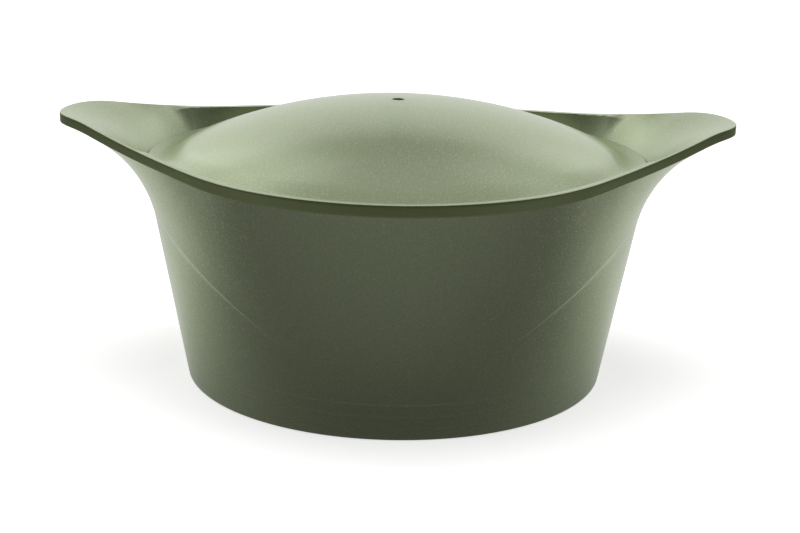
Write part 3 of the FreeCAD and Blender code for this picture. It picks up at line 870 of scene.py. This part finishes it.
    def build(self, finish: bpy.types.Material) -> bpy.types.Object:
        """Make the casting as one closed mesh.

        Args:
            finish: The lacquer.

        Returns:
            The object, which stands for the pot's solid.
        """
        angles = self.turns()
        vertices: List[Tuple[float, float, float]] = []
        faces: List[Tuple[int, ...]] = []
        sections = [self.section(math.radians(angle)) for angle in angles]
        count = len(sections[0]) - 2
        # Shares of painted highlight and of painted shade at each point.
        highlights: List[float] = []
        rim_shade: List[float] = []
        for angle, section in zip(angles, sections):
            cosine, sine = math.cos(math.radians(angle)), math.sin(math.radians(angle))
            for radius, height in section[1:-1]:
                vertices.append((radius * cosine * MM, radius * sine * MM, height * MM))
            highlights += self.painted_highlight(math.radians(angle), len(section))[1:-1]
            rim_shade += self.painted_shade(len(section))[1:-1]
        under = len(vertices)
        vertices.append((0.0, 0.0, sections[0][0][1] * MM))
        above = len(vertices)
        vertices.append((0.0, 0.0, sections[0][-1][1] * MM))
        for number in range(len(angles)):
            here, there = number * count, (number + 1) % len(angles) * count
            faces.append((under, there, here))
            faces.append((above, here + count - 1, there + count - 1))
            for step in range(count - 1):
                faces.append((here + step, there + step, there + step + 1, here + step + 1))
        mesh = bpy.data.meshes.new("pot_casting")
        mesh.from_pydata(vertices, [], faces)
        for name, shares in ((PAINTED_HIGHLIGHT, highlights), (PAINTED_SHADE, rim_shade)):
            layer = mesh.attributes.new(name, "FLOAT", "POINT")
            layer.data.foreach_set("value", shares + [0.0, 0.0])
        mesh.shade_smooth()
        mesh.set_sharp_from_angle(angle=SHARP_EDGE)
        mesh.materials.append(finish)
        casting = add_object("pot_casting", mesh)
        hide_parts("pot_body")
        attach(casting, Body.POT.value)
        return casting


@dataclass
class TurnedForm:
    """Geometry nodes that turn a section round the axis into a closed skin."""

    segments: int = 360
    weld: float = 0.002

    def tree(self, points: int) -> bpy.types.NodeTree:
        """Build the node group.

        Args:
            points: Number of points of the section, whose last point is its first again.

        Returns:
            The node group, with the inputs Section, Segments, Points and Finish.
        """
        group = bpy.data.node_groups.new("turned_form", "GeometryNodeTree")
        for name, kind, value in (
            ("Section", "NodeSocketGeometry", None), ("Segments", "NodeSocketInt", self.segments),
            ("Points", "NodeSocketInt", points), ("Finish", "NodeSocketMaterial", None),
        ):
            socket = group.interface.new_socket(name, in_out="INPUT", socket_type=kind)
            if value is not None:
                socket.default_value = value
        group.interface.new_socket("Form", in_out="OUTPUT", socket_type="NodeSocketGeometry")
        given = add_node(group, "NodeGroupInput")
        rows = add_node(group, "ShaderNodeMath", {"operation": "ADD"}, {
            0: given.outputs["Segments"], 1: 1.0,
        })
        grid = add_node(group, "GeometryNodeMeshGrid", None, {
            "Vertices X": rows.outputs[0], "Vertices Y": given.outputs["Points"],
        })
        index = add_node(group, "GeometryNodeInputIndex")
        row = add_node(group, "ShaderNodeMath", {"operation": "DIVIDE"}, {
            0: index.outputs[0], 1: given.outputs["Points"],
        })
        row = add_node(group, "ShaderNodeMath", {"operation": "FLOOR"}, {0: row.outputs[0]})
        place = add_node(group, "ShaderNodeMath", {"operation": "MODULO"}, {
            0: index.outputs[0], 1: given.outputs["Points"],
        })
        spot = add_node(group, "GeometryNodeInputPosition")
        taken = add_node(group, "GeometryNodeSampleIndex", {"data_type": "FLOAT_VECTOR"}, {
            "Geometry": given.outputs["Section"], "Value": spot.outputs[0],
            "Index": place.outputs[0],
        })
        axes = add_node(group, "ShaderNodeSeparateXYZ", None, {0: taken.outputs[0]})
        step = add_node(group, "ShaderNodeMath", {"operation": "DIVIDE"}, {
            0: 2.0 * math.pi, 1: given.outputs["Segments"],
        })
        turn = add_node(group, "ShaderNodeMath", {"operation": "MULTIPLY"}, {
            0: row.outputs[0], 1: step.outputs[0],
        })
        level = {"Z": axes.outputs["Z"]}
        for axis, operation in (("X", "COSINE"), ("Y", "SINE")):
            wave = add_node(group, "ShaderNodeMath", {"operation": operation}, {0: turn.outputs[0]})
            level[axis] = add_node(group, "ShaderNodeMath", {"operation": "MULTIPLY"}, {
                0: axes.outputs["X"], 1: wave.outputs[0],
            }).outputs[0]
        where = add_node(group, "ShaderNodeCombineXYZ", None, level)
        moved = add_node(group, "GeometryNodeSetPosition", None, {
            "Geometry": grid.outputs["Mesh"], "Position": where.outputs[0],
        })
        closed = add_node(group, "GeometryNodeMergeByDistance", None, {
            "Geometry": moved.outputs[0], "Distance": self.weld * MM,
        })
        smooth = add_node(group, "GeometryNodeSetShadeSmooth", None, {0: closed.outputs[0]})
        real = add_node(group, "GeometryNodeRealizeInstances", None, {0: smooth.outputs[0]})
        dressed = add_node(group, "GeometryNodeSetMaterial", None, {
            "Geometry": real.outputs[0], "Material": given.outputs["Finish"],
        })
        add_node(group, "NodeGroupOutput", None, {0: dressed.outputs[0]})
        return group

    def build(self, name: str, section: Section, finish: bpy.types.Material) -> bpy.types.Object:
        """Turn a section and keep the result as a plain mesh.

        Args:
            name: Name of the object.
            section: Radius and height of each point, round to the first again.
            finish: The material.

        Returns:
            The object.
        """
        line = bpy.data.meshes.new(name + "_section")
        spots = [(radius * MM, 0.0, height * MM) for radius, height in section]
        line.from_pydata(spots, [(step, step + 1) for step in range(len(spots) - 1)], [])
        holder = add_object(name, line)
        modifier = holder.modifiers.new("turned_form", "NODES")
        group = self.tree(len(section))
        modifier.node_group = group
        values = {"Segments": self.segments, "Points": len(section), "Finish": finish}
        for item in group.interface.items_tree:
            if item.item_type == "SOCKET" and item.in_out == "INPUT" and item.name in values:
                modifier[item.identifier] = values[item.name]
        bpy.context.view_layer.update()
        evaluated = holder.evaluated_get(bpy.context.evaluated_depsgraph_get())
        mesh = bpy.data.meshes.new_from_object(evaluated)
        mesh.name = name
        holder.modifiers.remove(modifier)
        holder.data = mesh
        bpy.data.meshes.remove(line)
        bpy.data.node_groups.remove(group)
        return holder


@dataclass
class DomedLid:
    """The loose lid: a low dome, a valley round it, a brim, a drip ring and a steam vent."""

    pot: PotCasting
    lid_gap: float = 0.8
    thickness: float = 3.2
    dome_bend: float = 250.0
    brim_width: float = 18.5
    brim_height: float = 2.6
    shoulder_bend: float = 20.0
    shoulder_angle: float = 48.0
    valley_bend: float = 6.0
    brim_angle: float = 10.0
    brim_edge_round: float = 0.7
    brim_foot_round: float = 0.3
    brim_curl: float = 1.6
    drip_round: float = 0.4
    drip_drop: float = 2.0
    drip_gap: float = 0.6
    drip_width: float = 9.0
    vent_radius: float = 3.0
    vent_round: float = 0.5
    fold_lead: float = 2.4
    fold_tail: float = 0.6
    fold_reach: Tuple[float, float] = (8.0, 5.0)

    def section(self) -> Section:
        """The lid's closed section.

        Returns:
            The points, from the vent's lower edge out and back to it.
        """
        pot = self.pot
        seat = pot.seat_height
        edge = pot.rim_radius - pot.seat_inset - self.lid_gap
        drip = pot.wall_radius(seat) - pot.wall_inset - self.drip_gap
        slope = math.radians(self.shoulder_angle)
        brim = math.radians(self.brim_angle)
        dome_x = edge - self.brim_width
        dome_slope = math.asin(dome_x / self.dome_bend)
        fold_x = dome_x + self.shoulder_bend * (math.sin(slope) - math.sin(dome_slope))
        valley_x = fold_x + self.valley_bend * math.sin(slope)
        low_x = valley_x + self.valley_bend * math.sin(brim)
        top = seat + self.brim_height
        low_z = top - (edge - low_x) * math.tan(brim)
        valley_z = low_z + self.valley_bend * math.cos(brim)
        fold_z = valley_z - self.valley_bend * math.cos(slope)
        shoulder_z = fold_z - self.shoulder_bend * math.cos(slope)
        upright = math.cos(dome_slope)
        dome_z = shoulder_z + self.shoulder_bend * upright - self.dome_bend * upright
        hollow_bend = self.dome_bend - self.thickness
        hollow_x = drip - self.drip_width

        def on_ball(bend: float, radius: float) -> Tuple[float, float]:
            """Point of a ball round the dome's centre at a distance from the axis."""
            return radius, dome_z + math.sqrt(bend ** 2 - radius ** 2)

        vent = self.vent_radius
        points: Section = [on_ball(hollow_bend, vent)]
        first = vent + 3 * self.vent_round
        lip = [points[0], on_ball(self.dome_bend, vent), on_ball(self.dome_bend, first)]
        points += rounded(lip, {1: self.vent_round})[1:]
        last = dome_x - self.fold_lead
        for step in range(1, DOME_STEPS):
            points.append(on_ball(self.dome_bend, first + (last - first) * step / DOME_STEPS))
        start = Vector(on_ball(self.dome_bend, last))
        start_slope = math.asin(last / self.dome_bend)
        end = Vector((low_x + self.fold_tail, low_z))
        downhill = Vector((math.cos(start_slope), -math.sin(start_slope)))
        near_start = start + self.fold_reach[0] * downhill
        near_end = end - self.fold_reach[1] * Vector((1.0, 0.0))
        points += cubic(start, near_start, near_end, end, FOLD_STEPS)
        rise = top - end.y
        for step in range(1, BRIM_STEPS):
            share = step / BRIM_STEPS
            points.append((end.x + (edge - end.x) * share, end.y + rise * share ** self.brim_curl))
        drip_z = seat - self.drip_drop
        outline = [points[-1], (edge, top), (edge, seat), (drip, seat), (drip, drip_z)]
        outline += [(hollow_x, drip_z), on_ball(hollow_bend, hollow_x)]
        rounds = {1: self.brim_edge_round, 2: self.brim_foot_round}
        rounds.update({4: self.drip_round, 5: self.drip_round})
        points += rounded(outline, rounds)[1:]
        for step in range(1, HOLLOW_STEPS):
            points.append(on_ball(hollow_bend, hollow_x + (vent - hollow_x) * step / HOLLOW_STEPS))
        points.append(points[0])
        return points

    def build(self, finish: bpy.types.Material) -> bpy.types.Object:
        """Make the lid.

        Args:
            finish: The lacquer.

        Returns:
            The object, which stands for the lid's solid.
        """
        lid = TurnedForm().build("lid_casting", self.section(), finish)
        lid.data.set_sharp_from_angle(angle=SHARP_EDGE)
        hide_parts("lid")
        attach(lid, Body.LID.value)
        return lid


@dataclass
class BaseDisc:
    """The steel disc under the floor, which keeps its solid."""

    node: bpy.types.Object

    def dress(self, finish: bpy.types.Material) -> bpy.types.Object:
        """Give the disc its faced steel.

        Args:
            finish: The steel.

        Returns:
            The disc's object.
        """
        for slot in self.node.material_slots:
            slot.material = finish
        return self.node


@dataclass(frozen=True)
class Lamp:
    """One soft lamp that faces the pot; lengths in metres, power in watts."""

    name: str
    place: Tuple[float, float, float]
    size: Tuple[float, float]
    watts: float
    mirrored: bool = True
    aim_height: float = 0.08

    def hang(self) -> None:
        """Add the lamp to the scene."""
        data = bpy.data.lights.new(self.name, "AREA")
        data.shape = "RECTANGLE"
        data.size, data.size_y = self.size
        data.energy = self.watts
        holder = add_object(self.name, data)
        holder.location = self.place
        aim = Vector((0.0, 0.0, self.aim_height)) - Vector(self.place)
        holder.rotation_euler = aim.to_track_quat("-Z", "Y").to_euler()
        holder.visible_camera = False
        holder.visible_glossy = self.mirrored


@dataclass
class Studio:
    """Floor, backdrop, ceiling, soft light and the camera at the photograph's angle.

    The eye and the spans are in millimetres, the sheets and the lamps in metres.
    """

    eye: Tuple[float, float, float] = (2.3, -687.1, 243.7)
    look_down: float = 15.715
    roll: float = 1.131
    focal_pixels: float = 1452.9
    frame_pixels: float = 800.0
    film_width: float = 36.0
    paper_colour: str = "#F2F2F0"
    dim_span: Tuple[float, float] = (-130.0, 80.0)
    lit_span: Tuple[float, float] = (300.0, 540.0)
    pale_span: Tuple[float, float] = (450.0, 1300.0)
    front_span: Tuple[float, float] = (-330.0, -120.0)
    back_span: Tuple[float, float] = (900.0, 1700.0)
    room_light: float = 0.06
    half_width: float = 3.0
    floor_front: float = -0.46
    floor_back: float = 3.0
    back_depth: float = 1.9
    back_top: float = 1.6
    ceiling_front: float = -0.4
    ceiling_height: float = 2.2
    lamps: Tuple[Lamp, ...] = (
        Lamp("lamp_left", (-1.1, 1.0, 1.2), (1.5, 1.4), 5.0),
        Lamp("lamp_right", (1.1, 1.2, 1.3), (1.5, 1.4), 3.0),
        Lamp("lamp_top", (0.0, -0.1, 1.6), (1.4, 1.0), 13.5, False),
    )

    def camera(self) -> None:
        """Set up the camera."""
        data = bpy.data.cameras.new("camera")
        data.sensor_fit = "HORIZONTAL"
        data.sensor_width = self.film_width
        data.lens = self.focal_pixels * data.sensor_width / self.frame_pixels
        down = math.radians(self.look_down)
        roll = math.radians(self.roll)
        forward = Vector((0.0, math.cos(down), -math.sin(down)))
        right = Vector((1.0, 0.0, 0.0))
        above = Vector((0.0, math.sin(down), math.cos(down)))
        turned_right = right * math.cos(roll) + above * math.sin(roll)
        turned_above = above * math.cos(roll) - right * math.sin(roll)
        matrix = Matrix((turned_right, turned_above, -forward)).transposed().to_4x4()
        matrix.translation = Vector(self.eye) * MM
        holder = add_object("camera", data)
        holder.matrix_world = matrix
        bpy.context.scene.camera = holder

    def paper(self, name: str, seen: Tuple[float, float], mirrored: Tuple[float, float, float],
              felt: float, lit_span: Tuple[float, float]) -> bpy.types.Material:
        """A pale sheet that shows one brightness to the eye and others to the lacquer.

        Args:
            name: Name of the material.
            seen: Added glow as the camera sees it, near the pot and far from it.
            mirrored: Added glow in reflections, well before the pot, at its foot, and behind it.
            felt: Share of the sheet's paleness that reflections and bounced light get.
            lit_span: Distances to the side over which the glow behind the pot falls away.

        Returns:
            The material.
        """
        material, tree = new_material(name)
        path = add_node(tree, "ShaderNodeLightPath")
        place = add_node(tree, "ShaderNodeTexCoord")
        axes = add_node(tree, "ShaderNodeSeparateXYZ", None, {0: place.outputs["Object"]})
        shade = add_node(tree, "ShaderNodeMix", {"data_type": "RGBA"}, {
            0: path.outputs["Is Camera Ray"],
            6: tuple(channel * felt for channel in linear(self.paper_colour)[:3]) + (1.0,),
            7: linear(self.paper_colour),
        })
        away = add_node(tree, "ShaderNodeVectorMath", {"operation": "LENGTH"}, {
            0: place.outputs["Object"],
        })
        paler = add_node(tree, "ShaderNodeMapRange", {"interpolation_type": "SMOOTHSTEP"}, {
            0: away.outputs["Value"], 1: self.pale_span[0] * MM, 2: self.pale_span[1] * MM,
            3: seen[0], 4: seen[1],
        })
        eye = add_node(tree, "ShaderNodeMath", {"operation": "MULTIPLY"}, {
            0: path.outputs["Is Camera Ray"], 1: paler.outputs[0],
        })
        behind = add_node(tree, "ShaderNodeMapRange", {"interpolation_type": "SMOOTHSTEP"}, {
            0: axes.outputs["Y"], 1: self.dim_span[0] * MM, 2: self.dim_span[1] * MM,
        })
        across = add_node(tree, "ShaderNodeMath", {"operation": "ABSOLUTE"}, {
            0: axes.outputs["X"],
        })
        near = add_node(tree, "ShaderNodeMapRange", {"interpolation_type": "SMOOTHSTEP"}, {
            0: across.outputs[0], 1: lit_span[0] * MM, 2: lit_span[1] * MM, 3: 1.0, 4: 0.0,
        })
        lit = add_node(tree, "ShaderNodeMath", {"operation": "MULTIPLY"}, {
            0: behind.outputs[0], 1: near.outputs[0],
        })
        before = add_node(tree, "ShaderNodeMapRange", {"interpolation_type": "SMOOTHSTEP"}, {
            0: axes.outputs["Y"], 1: self.front_span[0] * MM, 2: self.front_span[1] * MM,
            3: mirrored[0], 4: mirrored[1],
        })
        level = add_node(tree, "ShaderNodeMapRange", None, {
            0: lit.outputs[0], 3: before.outputs[0], 4: mirrored[2],
        })
        gloss = add_node(tree, "ShaderNodeMath", {"operation": "MULTIPLY"}, {
            0: path.outputs["Is Glossy Ray"], 1: level.outputs[0],
        })
        strength = add_node(tree, "ShaderNodeMath", {"operation": "ADD"}, {
            0: eye.outputs[0], 1: gloss.outputs[0],
        })
        matt = add_node(tree, "ShaderNodeBsdfDiffuse", None, {"Color": shade.outputs[2]})
        glow = add_node(tree, "ShaderNodeEmission", None, {
            "Color": (1.0, 1.0, 1.0, 1.0), "Strength": strength.outputs[0],
        })
        both = add_node(tree, "ShaderNodeAddShader", None, {0: matt.outputs[0], 1: glow.outputs[0]})
        add_node(tree, "ShaderNodeOutputMaterial", None, {"Surface": both.outputs[0]})
        return material

    def sheet(self, name: str, start: Tuple[float, float], end: Tuple[float, float],
              material: bpy.types.Material) -> None:
        """Add a flat sheet that reaches across the studio.

        Args:
            name: Name of the sheet.
            start: How far back and how high one long border lies, in metres.
            end: The same for the other border.
            material: What it is made of.
        """
        side = self.half_width
        corners = [(-side, *start), (side, *start), (side, *end), (-side, *end)]
        mesh = bpy.data.meshes.new(name)
        mesh.from_pydata(corners, [], [(0, 1, 2, 3)])
        mesh.materials.append(material)
        plane = add_object(name, mesh)

    def world(self) -> None:
        """Set the white surroundings."""
        world = bpy.data.worlds.new("studio")
        bpy.context.scene.world = world
        world.use_nodes = True
        tree = world.node_tree
        tree.nodes.clear()
        seen = add_node(tree, "ShaderNodeLightPath")
        strength = add_node(tree, "ShaderNodeMapRange", None, {
            0: seen.outputs["Is Camera Ray"], 3: self.room_light, 4: 1.0,
        })
        sky = add_node(tree, "ShaderNodeBackground", None, {
            "Color": (1.0, 1.0, 1.0, 1.0), "Strength": strength.outputs[0],
        })
        add_node(tree, "ShaderNodeOutputWorld", None, {"Surface": sky.outputs[0]})

    def build(self) -> None:
        """Set up the whole studio."""
        self.camera()
        floor = self.paper("paper_floor", (0.7, 1.0), (0.22, 0.06, 0.85), 0.2, self.lit_span)
        self.sheet("floor", (self.floor_front, 0.0), (self.floor_back, 0.0), floor)
        wall = self.paper("paper_back", (1.0, 1.0), (0.3, 0.3, 0.93), 0.4, self.back_span)
        self.sheet("backdrop", (self.back_depth, 0.0), (self.back_depth, self.back_top), wall)
        over = self.paper("paper_ceiling", (1.0, 1.0), (0.55, 0.55, 0.55), 0.4, self.back_span)
        high = self.ceiling_height
        self.sheet("ceiling", (self.back_depth, high), (self.ceiling_front, high), over)
        self.world()
        for lamp in self.lamps:
            lamp.hang()


def main() -> None:
    """Build and dress every piece."""
    logging.basicConfig(level=logging.INFO, format="%(name)s: %(message)s")
    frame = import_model()
    bpy.context.scene.view_settings.view_transform = "Standard"
    lacquer = GreenLacquer().build()
    steel = TurnedSteel().build()
    pot = PotCasting()
    disc = BaseDisc(frame["nodes"]["base_disc"])
    for piece in (pot.build(lacquer), DomedLid(pot).build(lacquer), disc.dress(steel)):
        log.info("%s: %d faces", piece.name, len(piece.data.polygons))
    Studio().build()


if __name__ == "__main__":
    main()
